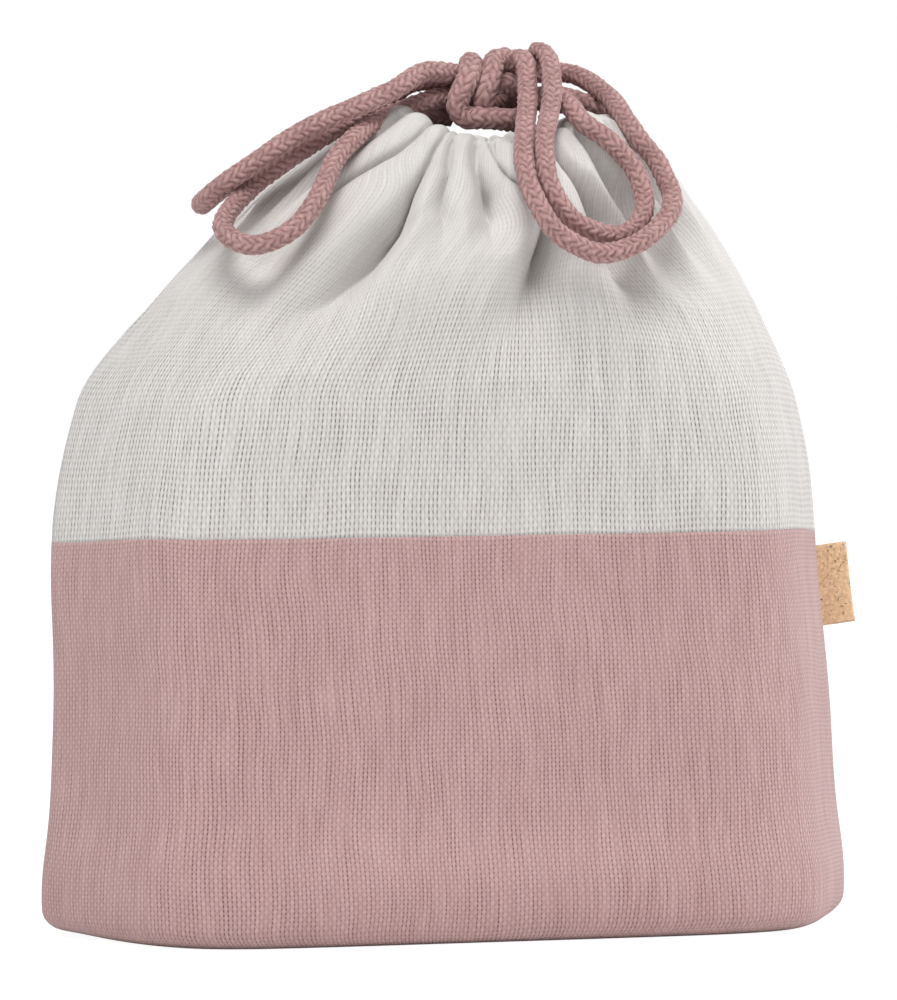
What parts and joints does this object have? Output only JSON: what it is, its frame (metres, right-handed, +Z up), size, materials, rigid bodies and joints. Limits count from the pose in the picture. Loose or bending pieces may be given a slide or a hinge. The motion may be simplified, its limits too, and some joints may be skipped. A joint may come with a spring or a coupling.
{
  "type": "bento bag",
  "caption": "Two-tone cloth lunch bag with a gathered drawstring mouth, a braided cord tied in loops on top and a small cork side tag.",
  "frame": {"origin": "middle of the base on the surface the bag stands on", "axes": "+Z up, -Y out of the front, +X to the right side seam with the tag, seen from the front"},
  "size_m": [0.2549, 0.1249, 0.2646],
  "materials": {
    "pink_cloth": "matt plain-woven linen blend, dusty pink",
    "natural_cloth": "matt plain-woven linen blend, natural off-white",
    "seam_tape": "matt cotton tape",
    "braided_cord": "matt round braid, dusty pink",
    "cork": "matt cork cloth"
  },
  "bodies": {
    "bag": {"base_panel": "pink_cloth", "front_lower_panel": "pink_cloth", "back_lower_panel": "pink_cloth", "front_upper_panel": "natural_cloth", "back_upper_panel": "natural_cloth", "front_casing": "natural_cloth", "back_casing": "natural_cloth", "base_seam_binding": "seam_tape", "front_waist_binding": "seam_tape", "back_waist_binding": "seam_tape", "left_seam_binding": "seam_tape", "right_seam_binding": "seam_tape", "left_casing_cord": "braided_cord", "right_casing_cord": "braided_cord", "knot_left_wrap": "braided_cord", "knot_right_wrap": "braided_cord", "knot_core": "braided_cord", "left_lead_front": "braided_cord", "left_lead_back": "braided_cord", "right_lead_front": "braided_cord", "right_lead_back": "braided_cord"},
    "left_loops": {"left_loop_outer": "braided_cord", "left_loop_inner": "braided_cord"},
    "right_loops": {"right_loop_outer": "braided_cord", "right_loop_inner": "braided_cord"},
    "tag": {"side_tag": "cork"}
  },
  "joints": [
    {"name": "left_loop_lift", "type": "hinge", "parent": "bag", "child": "left_loops", "pos_m": [-0.0045, -0.005, 0.2558], "axis": [0, 1, 0], "range_deg": [0, 100]},
    {"name": "right_loop_lift", "type": "hinge", "parent": "bag", "child": "right_loops", "pos_m": [0.0225, -0.004, 0.2595], "axis": [0, -1, 0], "range_deg": [0, 110]},
    {"name": "tag_fold", "type": "hinge", "parent": "bag", "child": "tag", "pos_m": [0.12103, 0, 0.088], "axis": [-0.1219, 0, 0.9925], "range_deg": [-85, 85]}
  ]
}
